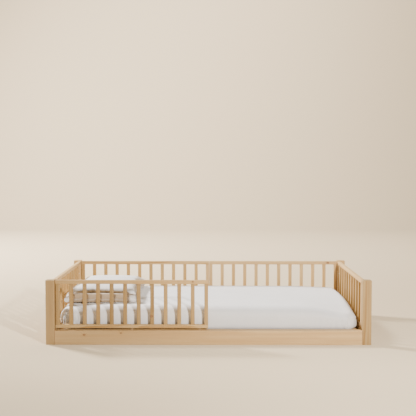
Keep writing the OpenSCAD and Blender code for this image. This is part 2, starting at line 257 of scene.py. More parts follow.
pineLook = {
    "early": (0.650, 0.440, 0.198, 1.0),
    "late": (0.420, 0.215, 0.062, 1.0),
    "warm": (0.560, 0.345, 0.133, 1.0),
    "knot": (0.230, 0.100, 0.045, 1.0),
    "rim": (0.110, 0.042, 0.018, 1.0),
    "ringWidth": 0.0042,
    "roughness": 0.52,
    "warmShare": 0.75,      # how strongly each colour shows
    "ringShare": 0.80,
    "poreShare": 0.35,
    "haloShare": 0.30,
    "coreShare": 0.80,
    "rimShare": 0.75,
    "jointShadeShare": 0.72,
    "light": 0.962,
    "fibreLight": 0.075,
    "stockSpread": 0.02,    # how far pieces differ in brightness, and the slats of one mesh
    "slatSpread": 0.16,
    "knotBend": 0.010,      # how far the rings swing out around a knot
}
rawLook = dict(pineLook, early=(0.700, 0.480, 0.245, 1.0), late=(0.500, 0.290, 0.115, 1.0), roughness=0.72)
beechLook = dict(pineLook, early=(0.560, 0.345, 0.190, 1.0), late=(0.430, 0.240, 0.120, 1.0),
                 ringWidth=0.0022, roughness=0.65)
# painted shade: the open front falls darker towards the head end, where less light reaches it
frontShadeTowardsHead = {"from": 0.30, "to": -0.95, "depth": 0.20}


def splitSlats(tree, place, cell, pick):
    # one mesh holds many slats: each gets its own stretch of the figure and its own brightness
    axis, first, pitch = cell
    split = addNode(tree, "ShaderNodeSeparateXYZ", -3, 2, {0: place}).outputs
    count = calc(tree, "SUBTRACT", -2, 2, split["XYZ".index(axis)], first - pitch / 2)
    count = calc(tree, "FLOOR", 0, 2, calc(tree, "DIVIDE", -1, 2, count, pitch))
    count = calc(tree, "ADD", 0, 3, count, pick.uniform(0, 99))
    dice = addNode(tree, "ShaderNodeTexWhiteNoise", 1, 2, {"W": count}, noise_dimensions="1D").outputs
    apart = vectorCalc(tree, "MULTIPLY", 1, 3, dice["Color"], (3.0, 3.0, 3.0))
    return vectorCalc(tree, "ADD", 1, 4, place, apart), dice["Value"]


def knotMasks(tree, place, knots):
    masks = {}
    for index, (centre, across, radius) in enumerate(knots):
        mark = placeGroup(tree, knotMark, 2, 4 + index * 2,
                          {"Vector": place, "Centre": centre, "Across": across, "Radius": radius})
        for row, label in enumerate(("Core", "Rim", "Halo")):
            if label in masks:
                masks[label] = calc(tree, "MAXIMUM", 3, 4 + index + row, masks[label], mark[label])
            else:
                masks[label] = mark[label]
    return masks


def pithBeside(name, grain, pick):
    # a board or a post is sawn from beside the pith, so the rings curve across it
    low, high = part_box(name)
    middle = Euler(grainTurn[grain]).to_matrix() @ ((low + high) / 2)
    away = pick.uniform(0.055, 0.11)
    angle = pick.uniform(0, 2 * math.pi)
    return middle.y + away * math.cos(angle), middle.z + away * math.sin(angle)


def pineMaterial(name, grain, knots=(), tone=(0.0, 1.0), cell=None, look=pineLook):
    # knots: (centre, across, radius); cell: (axis, first, pitch) where one mesh holds many pieces
    pick = random.Random(name)
    material, tree, shader = newMaterial(name, {"Roughness": look["roughness"], "Specular IOR Level": 0.42})
    place = addNode(tree, "ShaderNodeTexCoord", -4, 0).outputs["Object"]
    spot, slatShade = splitSlats(tree, place, cell, pick) if cell else (place, None)
    start = (pick.uniform(-5, 5), 0, 0)
    turned = addNode(tree, "ShaderNodeMapping", 2, 0,
                     {"Vector": spot, "Location": start, "Rotation": grainTurn[grain]})
    knot = knotMasks(tree, place, knots)
    bend = calc(tree, "MULTIPLY", 4, 5, knot["Halo"], look["knotBend"]) if knots else 0.0
    if cell:
        pithY, pithZ = pick.uniform(1.0, 2.4), pick.uniform(-0.5, 0.5)
    else:
        pithY, pithZ = pithBeside(name, grain, pick)
    figure = placeGroup(tree, pineFigure, 5, 0,
                        {"Vector": turned.outputs[0], "Pith Y": pithY, "Pith Z": pithZ,
                         "Ring Width": look["ringWidth"] * pick.uniform(0.8, 1.25), "Bend": bend})
    warmth = smoothStep(tree, 6, 2, figure["Streak"], 0.36, 0.68)
    warmth = calc(tree, "MULTIPLY", 6, 3, warmth, look["warmShare"])
    ring = calc(tree, "MULTIPLY", 7, 2, figure["Late Wood"], look["ringShare"])
    pores = calc(tree, "MULTIPLY", 8, 3, figure["Pores"], look["poreShare"])
    colour = mixColour(tree, 7, 0, warmth, look["early"], look["warm"])
    colour = mixColour(tree, 8, 0, ring, colour, look["late"])
    colour = mixColour(tree, 9, 0, pores, colour, look["late"])
    fibre = smoothStep(tree, 8, 2, figure["Fibre"], 0.3, 0.7)
    brightness, richness = tone
    light = look["light"] + brightness + pick.uniform(-look["stockSpread"], look["stockSpread"])
    light = calc(tree, "MULTIPLY_ADD", 10, 2, fibre, look["fibreLight"], light)
    if cell:
        spread = calc(tree, "MULTIPLY_ADD", 9, 3, slatShade, look["slatSpread"], -look["slatSpread"] / 2)
        light = calc(tree, "ADD", 10, 3, light, spread)
    # painted shade on the front pieces, deepening towards the head end
    if name.startswith("front_"):
        alongBed = addNode(tree, "ShaderNodeSeparateXYZ", 8, 5, {0: place}).outputs[0]
        headEndShade = smoothStep(tree, 9, 5, alongBed, frontShadeTowardsHead["from"], frontShadeTowardsHead["to"])
        light = calc(tree, "MULTIPLY_ADD", 10, 5, headEndShade, -frontShadeTowardsHead["depth"], light)
    tint = addNode(tree, "ShaderNodeHueSaturation", 11, 0,
                   {"Color": colour, "Saturation": richness, "Value": light})
    colour = tint.outputs[0]
    if knots:
        for column, (label, share, shade) in enumerate(
                (("Halo", "haloShare", "late"), ("Core", "coreShare", "knot"), ("Rim", "rimShare", "rim"))):
            mask = calc(tree, "MULTIPLY", 11 + column, 3, knot[label], look[share])
            colour = mixColour(tree, 12 + column, 0, mask, colour, look[shade])
    if name.endswith("_board"):
        # painted shade in the crevice at each end of the board
        colour = mixColour(tree, 16, 0, postJointShade(tree, place, name, grain, look), colour, look["knot"])
    tree.links.new(colour, shader.inputs["Base Color"])
    rough = calc(tree, "MULTIPLY_ADD", 11, 5, figure["Late Wood"], -0.08, look["roughness"])
    rough = calc(tree, "MULTIPLY_ADD", 12, 5, fibre, 0.09, rough)
    tree.links.new(rough, shader.inputs["Roughness"])
    height = calc(tree, "MULTIPLY", 10, 7, fibre, 0.35)
    height = calc(tree, "MULTIPLY_ADD", 11, 7, figure["Late Wood"], 0.5, height)
    height = calc(tree, "SUBTRACT", 12, 7, height, calc(tree, "MULTIPLY", 11, 8, figure["Pores"], 0.6))
    addBump(tree, shader, 14, 7, height, 0.35, 0.00025)
    return material


def postJointShade(tree, place, name, grain, look):
    # painted shade: the thin dark line where a board meets its post, standing in for the shadow in the
    # crevice
    axis = "XYZ".index(grain)
    along = addNode(tree, "ShaderNodeSeparateXYZ", 12, 9, {0: place}).outputs[axis]
    fromEnd = calc(tree, "SUBTRACT", 14, 9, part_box(name)[1][axis], calc(tree, "ABSOLUTE", 13, 9, along))
    creviceShade = smoothStep(tree, 15, 9, fromEnd, 0.0042, 0.0012)
    return calc(tree, "MULTIPLY", 16, 9, creviceShade, look["jointShadeShare"])


knotPlaces = {
    "front_board": [((-0.779, -0.52, 0.064), (0, 1, 0), 0.0055),
                    ((-0.548, -0.52, 0.074), (0, 1, 0), 0.0042)],
    "rear_board": [((0.31, 0.52, 0.052), (0, 1, 0), 0.008),
                   ((-0.64, 0.52, 0.031), (0, 1, 0), 0.006)],
    "head_board": [((-1.02, 0.17, 0.060), (1, 0, 0), 0.007)],
    "foot_board": [((1.02, -0.22, 0.034), (1, 0, 0), 0.008)],
    "front_guard_slats": [((-0.358, -0.477, 0.175), (0, 1, 0), 0.0065)],
    "front_guard_top_rail": [((-0.098, -0.477, 0.394), (0, 1, 0), 0.0040)],
    "rear_right_guard_top_rail": [((0.892, 0.477, 0.392), (0, 1, 0), 0.0065)],
    "rear_left_guard_bottom_rail": [((-0.42, 0.477, 0.108), (0, 1, 0), 0.0060)],
    "foot_guard_slats": [((0.977, 0.10, 0.243), (1, 0, 0), 0.0060)],
}
# brightness and richness of each piece: partly the stock it was sawn from, partly painted shade on the
# front's left pieces and on pieces that lie in shade
pieceToneAndShade = {
    "front_left_post": (-0.19, 1.0), "front_right_post": (-0.40, 1.05), "front_board": (-0.07, 0.98),
    "front_guard_slats": (-0.27, 1.04), "front_guard_near_stile": (-0.20, 1.06),
    "front_guard_far_stile": (-0.25, 1.04), "front_guard_bottom_rail": (-0.06, 1.04),
    "front_guard_top_rail": (0.0, 1.0), "rear_left_guard_top_rail": (-0.04, 1.03),
    "rear_left_guard_slats": (-0.13, 1.10), "rear_left_guard_near_stile": (-0.26, 1.10),
    "rear_right_guard_slats": (-0.06, 1.04), "rear_right_guard_top_rail": (0.02, 1.0),
    "head_guard_slats": (-0.18, 1.08), "foot_guard_slats": (-0.08, 1.04),
}
plainTone = (0.0, 1.0)
rawTone = (0.02, 1.0)
endGuardSlats = 9
longGuardSlats = 10


def slatCell(name, low, size):
    # where the slats of one guard stand, counted along the guard
    across = 0 if size.x > size.y else 1
    width = min(size.x, size.y)
    count = endGuardSlats if name.startswith(("head_", "foot_")) else longGuardSlats
    return "XY"[across], low[across] + width / 2, (size[across] - width) / (count - 1)


def dressFrame():
    for name, obj in nodes.items():
        low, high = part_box(name)
        size = high - low
        grain = "XYZ"[max(range(3), key=lambda axis: size[axis])]
        cell = None
        if name.endswith("_slats"):
            grain = "Z"
            cell = slatCell(name, low, size)
        if name.endswith(("_post", "_board", "_rail", "_stile", "_slats")):
            # partly the piece's own tone, partly painted shade
            tone = pieceToneAndShade.get(name, plainTone)
            setMaterial(obj, pineMaterial(name, grain, knotPlaces.get(name, ()), tone, cell))
        elif name.endswith("_ledger") or name.startswith("base_slat_") and name != "base_slat_screws":
            setMaterial(obj, pineMaterial(name, grain, tone=rawTone, look=rawLook))


dressFrame()

zincLook = {
    "dull": (0.60, 0.61, 0.62, 1),
    "bright": (0.74, 0.73, 0.69, 1),
    "cloudScale": 160.0,
    "spangleScale": 700.0,
}
rubberLook = {
    "dark": (0.300, 0.200, 0.115, 1),
    "pale": (0.380, 0.265, 0.165, 1),
    "gritScale": 1400.0,
}


def zincMaterial(look):
    material, tree, shader = newMaterial("zincSteel", {"Roughness": 0.38, "Metallic": 1.0})
    place = addNode(tree, "ShaderNodeTexCoord", 0, 0).outputs["Object"]
    cloud = plainNoise(tree, 1, 0, place, look["cloudScale"], 4.0)
    spangle = addNode(tree, "ShaderNodeTexVoronoi", 1, 2, {"Vector": place, "Scale": look["spangleScale"]})
    tree.links.new(mixColour(tree, 2, 0, cloud, look["dull"], look["bright"]), shader.inputs["Base Color"])
    tree.links.new(calc(tree, "MULTIPLY_ADD", 2, 2, cloud, 0.25, 0.26), shader.inputs["Roughness"])
    addBump(tree, shader, 3, 3, spangle.outputs["Distance"], 0.2, 0.0001)
    return material


def rubberMaterial(look):
    material, tree, shader = newMaterial("spacerRubber", {"Roughness": 0.8})
    place = addNode(tree, "ShaderNodeTexCoord", 0, 0).outputs["Object"]
    grit = plainNoise(tree, 1, 0, place, look["gritScale"], 3.0)
    tree.links.new(mixColour(tree, 2, 0, grit, look["dark"], look["pale"]), shader.inputs["Base Color"])
    addBump(tree, shader, 3, 3, grit, 0.3, 0.0002)
    return material


zincSteel = zincMaterial(zincLook)
for name in ("corner_bolts", "barrel_nuts", "ledger_screws", "base_slat_screws", "guard_screws"):
    setMaterial(nodes[name], zincSteel)
setMaterial(nodes["guard_spacers"], rubberMaterial(rubberLook))
setMaterial(nodes["corner_dowels"], pineMaterial("corner_dowels", "X", look=beechLook))
print("frame dressed in pine, steel, beech and rubber")

sheetCottonLook = {
    "colour": (0.775, 0.768, 0.778, 1),
    "shadow": (0.715, 0.705, 0.710, 1),
    "thread": 0.0006,
    "creaseScale": 9.0,
    "creaseDepth": 0.10,
}
pillowCottonLook = {
    "colour": (0.800, 0.790, 0.795, 1),
    "shadow": (0.715, 0.690, 0.670, 1),
    "liningAndShadeColour": (0.455, 0.350, 0.238, 1),     # natural cotton on the sides and underside of a case, partly painted shade for the lower sides that face down
    "thread": 0.0006,
    "creaseScale": 13.0,
    "creaseDepth": 0.22,
    "seamInset": 0.008,
}


def clothMaterial(name, look, seam=None):
    # seam: (half width, half length) of the case on the flat cloth
    material, tree, shader = newMaterial(name, {
        "Roughness": 0.86, "Specular IOR Level": 0.22, "Sheen Weight": 0.22, "Sheen Roughness": 0.45})
    flat = addNode(tree, "ShaderNodeAttribute", 0, 0, attribute_name="flatPlace").outputs["Vector"]
    place = addNode(tree, "ShaderNodeTexCoord", 0, 3).outputs["Object"]
    weave = placeGroup(tree, plainWeave, 1, 0, {"Vector": flat, "Thread": look["thread"]})
    cloud = calc(tree, "MULTIPLY", 2, 4, plainNoise(tree, 1, 3, place, 5.0, 3.0), 0.35)
    tone = calc(tree, "MULTIPLY_ADD", 2, 3, weave["Slub"], 0.5, cloud)
    tone = smoothStep(tree, 3, 3, tone, 0.30, 0.62)
    base = mixColour(tree, 4, 0, tone, look["shadow"], look["colour"])
    # partly painted shade: the underside and lower sides take the darker beige where shade falls under the
    # swell
    if "liningAndShadeColour" in look:
        side = addNode(tree, "ShaderNodeAttribute", 2, -2, attribute_name="liningAndShade").outputs["Fac"]
        shaded = tuple(value * 0.9 for value in look["liningAndShadeColour"][:3]) + (1.0,)
        below = mixColour(tree, 4, -1, tone, shaded, look["liningAndShadeColour"])
        base = mixColour(tree, 5, 0, smoothStep(tree, 3, -2, side, 0.25, 0.75), base, below)
    crease = addNode(tree, "ShaderNodeTexNoise", 1, 6,
                     {"Vector": place, "Scale": look["creaseScale"], "Detail": 4.0, "Roughness": 0.5,
                      "Distortion": 0.9}).outputs[0]
    ridge = calc(tree, "ABSOLUTE", 3, 6, calc(tree, "SUBTRACT", 2, 6, crease, 0.5))
    ridge = smoothStep(tree, 4, 6, ridge, 0.0, 0.13)
    height = calc(tree, "MULTIPLY", 4, 7, weave["Height"], 0.05)
    height = calc(tree, "MULTIPLY_ADD", 5, 6, ridge, look["creaseDepth"], height)
    height = calc(tree, "ADD", 6, 6, height, calc(tree, "MULTIPLY", 5, 7, weave["Slub"], 0.12))
    if seam:
        groove = seamGroove(tree, flat, seam, look["seamInset"])
        height = calc(tree, "SUBTRACT", 7, 6, height, calc(tree, "MULTIPLY", 7, 9, groove, 0.8))
        base = mixColour(tree, 8, 0, calc(tree, "MULTIPLY", 7, 10, groove, 0.35), base, look["shadow"])
    tree.links.new(base, shader.inputs["Base Color"])
    addBump(tree, shader, 9, 6, height, 0.5, 0.0022)
    return material


def seamGroove(tree, flat, seam, inset):
    # the stitched line that runs round a case, a little inside its edge
    split = addNode(tree, "ShaderNodeSeparateXYZ", 1, 9, {0: flat}).outputs
    edges = [calc(tree, "SUBTRACT", 3, 9 + axis, seam[axis] - inset,
                  calc(tree, "ABSOLUTE", 2, 9 + axis, split[axis])) for axis in (0, 1)]
    line = calc(tree, "ABSOLUTE", 5, 9, calc(tree, "MINIMUM", 4, 9, *edges))
    return smoothStep(tree, 6, 9, line, 0.0028, 0.0006)


def storeFlat(obj, places):
    layer = obj.data.attributes.new("flatPlace", "FLOAT_VECTOR", "POINT")
    for index, place in enumerate(places):
        layer.data[index].vector = place


def gridShell(name, half, cell):
    # a closed block of even squares, its six sides welded along their edges
    mesh = bmesh.new()
    counts = [max(2, round(2 * side / cell)) for side in half]
    for axis in range(3):
        u, v = (axis + 1) % 3, (axis + 2) % 3
        for side in (-1, 1):
            rows = []
            for i in range(counts[u] + 1):
                row = []
                for j in range(counts[v] + 1):
                    point = [0.0, 0.0, 0.0]
                    point[axis] = side * half[axis]
                    point[u] = half[u] * (2 * i / counts[u] - 1)
                    point[v] = half[v] * (2 * j / counts[v] - 1)
                    row.append(mesh.verts.new(point))
                rows.append(row)
            for i in range(counts[u]):
                for j in range(counts[v]):
                    loop = [rows[i][j], rows[i + 1][j], rows[i + 1][j + 1], rows[i][j + 1]]
                    mesh.faces.new(loop if side > 0 else loop[::-1])
    bmesh.ops.remove_doubles(mesh, verts=mesh.verts, dist=cell * 0.05)
    data = bpy.data.meshes.new(name)
    mesh.to_mesh(data)
    mesh.free()
    obj = bpy.data.objects.new(name, data)
    bpy.context.scene.collection.objects.link(obj)
    return obj


def selectOnly(obj):
    bpy.ops.object.select_all(action="DESELECT")
    bpy.context.view_layer.objects.active = obj
    obj.select_set(True)


def roundCorner(across, up):
    # turns a square corner region into a round one
    square = max(abs(across), abs(up))
    reach = math.hypot(across, up)
    return (across * square / reach, up * square / reach) if reach > 1e-9 else (across, up)


def coreOf(value, half, corner):
    # the nearest place on the block's straight part
    return max(-half + corner, min(half - corner, value))


def roundBlock(point, half, corner, edge):
    x, y, z = point
    coreX = coreOf(x, half[0], corner)
    coreY = coreOf(y, half[1], corner)
    awayX, awayY = roundCorner(x - coreX, y - coreY)
    reach = math.hypot(awayX, awayY)
    if reach > corner - edge:
        coreZ = coreOf(z, half[2], edge)
        across, up = roundCorner(reach - (corner - edge), z - coreZ)
        scale = (corner - edge + across) / reach
        awayX, awayY, z = awayX * scale, awayY * scale, coreZ + up
    return Vector((coreX + awayX, coreY + awayY, z))


def ease(value, start, end):
    share = max(0.0, min(1.0, (value - start) / (end - start)))
    return share * share * (3 - 2 * share)


# keys of the corners: the signs of x and y, so (-1, -1) is the head end's front corner
sheetShape = {
    "cell": 0.0125,
    "corner": 0.090,
    "edge": 0.062,
    "lowEdge": 0.032,
    "crown": 0.0035,
    "slack": 0.0016,
    "tuck": 0.085,
    "thickness": 0.0012,
    "foldLength": 0.034,
    "foldDepth": {(-1, -1): 0.052, (1, -1): 0.030, (-1, 1): 0.012, (1, 1): 0.012},
    "foldTurn": {(-1, -1): 2.6, (1, -1): 0.0, (-1, 1): 0.0, (1, 1): 0.0},
    "foldReach": 0.085,     # how far from a corner the gathers die away
    "ripple": 0.0026,
    "tension": 0.0022,      # the fine pull lines on the top, and how far from a corner they die away
    "tensionReach": 0.16,
    "tensionTurns": 95,
    "roomOutside": 0.0085,  # how far a fold may stand out from the side
}
# how far each soft corner of the mattress sinks, over what distance, and how near it stays deepest
cornerSlump = {(-1, -1): 0.016, (1, -1): 0.049, (-1, 1): 0.006, (1, 1): 0.010}
slumpReach = 0.20
slumpFlat = 0.03
pillowEdge = 0.10       # the pull lines fade out over this distance from the pillows
pillowLow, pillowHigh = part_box("lower_pillow")


def cornerAt(spot):
    return (1 if spot.x > 0 else -1, 1 if spot.y > 0 else -1)


def slumpAt(spot, half):
    nearX = max(0.0, half[0] - abs(spot.x) - slumpFlat)
    nearY = max(0.0, half[1] - abs(spot.y) - slumpFlat)
    share = math.exp(-(nearX * nearX + nearY * nearY) / slumpReach ** 2)
    return cornerSlump[cornerAt(spot)] * share * ease(spot.z, -0.4 * half[2], half[2])


def pillowShare(x, y):
    # 1 under the pillows, 0 away from them
    out = max(pillowLow.x - x, x - pillowHigh.x, pillowLow.y - y, y - pillowHigh.y)
    return 1.0 - ease(out, 0.0, pillowEdge)


def sheetSurface(point, half, centre, shape):
    # where the cloth lies, with its crown, pull lines and corner gathers
    corner = shape["corner"]
    edge = shape["edge"] if point[2] > 0 else shape["lowEdge"]
    spot = roundBlock(point, half, corner, edge)
    depth = (half[2] - spot.z) / (2 * half[2])
    nearX = half[0] - abs(spot.x)
    nearY = half[1] - abs(spot.y)
    sideShare = 1.0 - ease(min(nearX, nearY), 0.0, edge)
    awayX = spot.x - coreOf(spot.x, half[0], corner)
    awayY = spot.y - coreOf(spot.y, half[1], corner)
    flat = Vector((awayX, awayY, 0))
    outward = Vector((0, 0, 1.0 if point[2] > 0 else -1.0))
    if flat.length > 1e-6:
        outward = outward.lerp(flat.normalized(), sideShare).normalized()
    signX, signY = cornerAt(spot)
    fromCorner = math.hypot(max(0.0, nearX - corner * 0.3), max(0.0, nearY - corner * 0.3))
    wobble = noise.noise(Vector((spot.x * 6, spot.y * 6, spot.z * 9)) + Vector((3, 7, 1)))
    # the sides: gathers at the corners, ripples between them
    along = math.atan2(awayY, awayX) * corner + (spot.x if nearY < nearX else spot.y)
    turns = along * 2 * math.pi / shape["foldLength"] + shape["foldTurn"][(signX, signY)]
    wave = math.sin(turns + wobble * 4.5 + depth * 1.3 * signX)
    wave = (wave * 0.5 + 0.5) ** 1.8
    gather = shape["foldDepth"][(signX, signY)] * math.exp(-fromCorner / shape["foldReach"])
    out = (wave - 0.66) * gather * sideShare * ease(depth, 0.02, 0.55)
    ripple = noise.noise(Vector((along * 11, spot.z * 3, signX * 4 + signY)))
    out += ripple * shape["ripple"] * sideShare * ease(depth, 0.05, 0.9)
    # the top: crown, slack cloth and pull lines, none of them under the pillows
    bare = 1 - pillowShare(spot.x + centre.x, spot.y + centre.y)
    topShare = (1.0 - sideShare) * ease(spot.z, 0.0, half[2])
    crown = shape["crown"] * (1 - (spot.x / half[0]) ** 4) * (1 - (spot.y / half[1]) ** 2)
    slack = noise.noise(Vector((spot.x * 2.3, spot.y * 4.0, 5.0))) * shape["slack"]
    tension = math.sin((nearX - nearY) * shape["tensionTurns"] + wobble * 5)
    tension = tension * math.exp(-fromCorner / shape["tensionReach"]) * shape["tension"] * bare
    moved = spot + outward * min(out, shape["roomOutside"])
    moved.z += ((crown + slack) * bare + tension) * topShare
    moved.z -= slumpAt(spot, half)
    return moved


def openUnderside(sheet, half, tuck):
    # only the tuck reaches under the mattress
    mesh = bmesh.new()
    mesh.from_mesh(sheet.data)
    inside = []
    for face in mesh.faces:
        middle = face.calc_center_median()
        if middle.z < -half.z * 0.999 and half.x - abs(middle.x) > tuck and half.y - abs(middle.y) > tuck:
            inside.append(face)
    bmesh.ops.delete(mesh, geom=inside, context="FACES")
    mesh.to_mesh(sheet.data)
    mesh.free()


def unfold(point, half):
    # where a point of the block lies on the flat cloth
    x, y, z = point
    down = half.z - z
    return (x + math.copysign(down, x) * (abs(abs(x) - half.x) < 1e-4),
            y + math.copysign(down, y) * (abs(abs(y) - half.y) < 1e-4), 0)


def makeSheet(shape):
    low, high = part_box("fitted_sheet")
    centre = (low + high) / 2
    half = (high - low) / 2
    sheet = gridShell("fittedSheet", half, shape["cell"])
    openUnderside(sheet, half, shape["tuck"])
    storeFlat(sheet, [unfold(vertex.co, half) for vertex in sheet.data.vertices])
    for vertex in sheet.data.vertices:
        vertex.co = sheetSurface(vertex.co, half, centre, shape) + centre
    selectOnly(sheet)
    bpy.ops.object.shade_smooth()
    wall = sheet.modifiers.new("thickness", "SOLIDIFY")
    wall.thickness = shape["thickness"]
    wall.offset = -1
    bpy.ops.object.modifier_apply(modifier="thickness")
    setMaterial(sheet, clothMaterial("sheetCotton", sheetCottonLook))
    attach(sheet, "mattress")
    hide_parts("fitted_sheet")
    return sheet


mattressShape = {
    "cell": 0.02,
    "corner": 0.100,
    "edge": 0.060,
    "insideSheet": 0.026,
    "aboveShare": 0.35,     # of insideSheet, the part that is left free above and below
    "quiltTurns": 38.0,
    "puff": 0.0012,
}
# the seam colour is painted shade down in the quilting hollows, the puff colour the lit tops
tickingLook = {"seam": (0.60, 0.57, 0.52, 1), "puff": (0.78, 0.75, 0.70, 1), "thread": 0.0011}


def tickingMaterial(look, quiltTurns):
    material, tree, shader = newMaterial("quiltedTicking", {
        "Roughness": 0.88, "Specular IOR Level": 0.2, "Sheen Weight": 0.15})
    place = addNode(tree, "ShaderNodeTexCoord", 0, 0).outputs["Object"]
    split = addNode(tree, "ShaderNodeSeparateXYZ", 1, 0, {0: place}).outputs
    ribs = []
    for row, operation in enumerate(("ADD", "SUBTRACT")):
        diagonal = calc(tree, operation, 2, row, split[0], split[1])
        wave = calc(tree, "SINE", 3, row, calc(tree, "MULTIPLY", 2, 2 + row, diagonal, quiltTurns))
        ribs.append(calc(tree, "ABSOLUTE", 4, row, wave))
    puff = calc(tree, "POWER", 6, 0, calc(tree, "MINIMUM", 5, 0, *ribs), 0.5)
    weave = placeGroup(tree, plainWeave, 4, 3, {"Vector": place, "Thread": look["thread"]})
    # painted shade: darker towards the quilting hollows, lighter on the puffs
    tree.links.new(mixColour(tree, 7, 0, puff, look["seam"], look["puff"]), shader.inputs["Base Color"])
    height = calc(tree, "ADD", 7, 3, puff, calc(tree, "MULTIPLY", 6, 3, weave["Height"], 0.05))
    addBump(tree, shader, 8, 3, height, 0.8, 0.004)
    return material


def makeMattress(shape):
    low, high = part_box("mattress")
    centre = (low + high) / 2
    half = (high - low) / 2 - Vector((1, 1, shape["aboveShare"])) * shape["insideSheet"]
    body = gridShell("mattressBody", half, shape["cell"])
    for vertex in body.data.vertices:
        vertex.co = roundBlock(vertex.co, half, shape["corner"], shape["edge"])
    body.data.update()
    normals = [vertex.normal.copy() for vertex in body.data.vertices]
    for vertex, normal in zip(body.data.vertices, normals):
        plus = abs(math.sin((vertex.co.x + vertex.co.y) * shape["quiltTurns"]))
        minus = abs(math.sin((vertex.co.x - vertex.co.y) * shape["quiltTurns"]))
        vertex.co += normal * (math.sqrt(min(plus, minus)) - 1.0) * shape["puff"]
        vertex.co.z -= slumpAt(vertex.co, half)
    centre.z = low.z + half.z
    body.data.transform(Matrix.Translation(centre))
    selectOnly(body)
    bpy.ops.object.shade_smooth()
    setMaterial(body, tickingMaterial(tickingLook, shape["quiltTurns"]))
    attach(body, "mattress")
    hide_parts("mattress")


# under and crown are shares of the pillow's height: where its rim is, and where its top is
# the lining with its painted shade reaches up to a share of each pillow's height, and fades out over a
# further share
pillowShapes = {
    "lowerPillow": {"node": "lower_pillow", "grow": 1.02, "pressure": 3.6, "seed": 4, "under": 0.74,
                    "full": 0.42, "fullUnder": 0.72, "flatFrom": 0.15, "fall": 0.08, "droop": 0.028,
                    "straight": 0.85, "crown": 1.0, "liningAndShade": 0.99, "fade": 0.05},
    "upperPillow": {"node": "upper_pillow", "grow": 1.02, "pressure": 4.4, "seed": 9, "under": 0.30,
                    "full": 0.72, "fullUnder": 0.45, "flatFrom": 0.42, "fall": 0.32, "droop": 0.006,
                    "straight": 0.60, "crown": 0.88, "liningAndShade": 0.52, "fade": 0.22},
}
pillowCell = 0.009
caseWall = 0.010
simFrames = 20
settleFrom = 0.60       # share of a pillow's half width inside which its underside stays level
settleDepth = 0.020     # the stuffing lets the rim sink no further than this
overhangDrop = 0.028    # past the edge of the pillow below, the rim stays above this depth under its top
airGap = 0.0006
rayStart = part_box("upper_pillow")[1].z + 0.2    # a height well above both pillows
cornerFrom = 0.62       # shareX times shareY, where a corner starts to droop and where it droops fully
cornerTo = 0.96


def blankCase(name, shape, widthX, widthY):
    # two flat faces a little apart, slightly uneven so that the pressure finds its wrinkles
    bpy.ops.object.select_all(action="DESELECT")
    columns, rows = int(widthX / pillowCell), int(widthY / pillowCell)
    bpy.ops.mesh.primitive_grid_add(x_subdivisions=columns, y_subdivisions=rows, size=1)
    pillow = bpy.context.object
    pillow.name = name
    pillow.scale = (widthX, widthY, 1)
    bpy.ops.object.transform_apply(location=False, rotation=False, scale=True)
    shift = Vector((shape["seed"] * 1.7, shape["seed"] * 0.9, 0))
    for vertex in pillow.data.vertices:
        wide = noise.noise(vertex.co * 9 + shift) * 0.004
        fine = noise.noise(vertex.co * 24 + shift) * 0.0015
        vertex.co.z += wide + fine
    wall = pillow.modifiers.new("wall", "SOLIDIFY")
    wall.thickness = caseWall
    wall.offset = 0
    bpy.ops.object.modifier_apply(modifier="wall")
    return pillow


def undersideOf(pillow):
    # the two faces of the case follow each other in the same order
    heights = [vertex.co.z for vertex in pillow.data.vertices]
    half = len(heights) // 2
    return [height < 0.5 * (heights[index % half] + heights[index % half + half])
            for index, height in enumerate(heights)]


def inflate(obj, shape):
    cloth = obj.modifiers.new("cloth", "CLOTH")
    settings = cloth.settings
    settings.quality = 5
    settings.mass = 0.25
    settings.tension_stiffness = 15
    settings.compression_stiffness = 15
    settings.shear_stiffness = 7.5
    settings.bending_stiffness = 0.35
    settings.use_pressure = True
    settings.uniform_pressure_force = shape["pressure"]
    settings.effector_weights.gravity = 0
    cloth.collision_settings.use_collision = False
    cloth.point_cache.frame_start = 1
    cloth.point_cache.frame_end = simFrames
    for frameNumber in range(1, simFrames + 1):
        bpy.context.scene.frame_set(frameNumber)
    bpy.ops.object.modifier_apply(modifier="cloth")
    bpy.context.scene.frame_set(1)


def layDown(pillow, shape, flatPlaces, underside, halfX, halfY):
    # the underside flattens, the top swells to its share of the height, the corners droop
    low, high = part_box(shape["node"])
    size = high - low
    middle = (low + high) / 2
    points = [vertex.co.copy() for vertex in pillow.data.vertices]
    reachX = max(abs(point.x) for point in points)
    reachY = max(abs(point.y) for point in points)
    top = max(point.z for point in points)
    bottom = -min(point.z for point in points)
    straight = shape["straight"]
    liningAndShade = pillow.data.attributes.new("liningAndShade", "FLOAT", "POINT")
    reaches = []
    for index, (vertex, point) in enumerate(zip(pillow.data.vertices, points)):
        shareX = point.x / reachX * (1 - straight) + flatPlaces[index][0] / halfX * straight
        shareY = point.y / reachY * (1 - straight) + flatPlaces[index][1] / halfY * straight
        reaches.append(max(abs(shareX), abs(shareY)))
        thin = 1 - shape["fall"] * ease(shareY, -0.15, 1.0)
        rise = size.z * (shape["crown"] - shape["under"]) * (max(point.z, 0.0) / top) ** shape["full"]
        sink = min(1.0, max(-point.z, 0.0) / bottom / shape["flatFrom"]) ** shape["fullUnder"]
        z = (rise + size.z * shape["under"] * (1 - sink)) * thin
        atCorner = ease(abs(shareX * shareY), cornerFrom, cornerTo)
        # below that share the case takes the lining colour, partly painted shade on the lower sides
        sideShare = 1 - ease(z / size.z, shape["liningAndShade"] - shape["fade"], shape["liningAndShade"])
        liningAndShade.data[index].value = max(float(underside[index]), sideShare) * (1 - 0.9 * atCorner)
        z -= min(shape["droop"] * atCorner, z * 0.8)
        spot = Vector((shareX * size.x / 2, shareY * size.y / 2, z))
        vertex.co = spot + Vector((middle.x, middle.y, low.z))
    return reaches


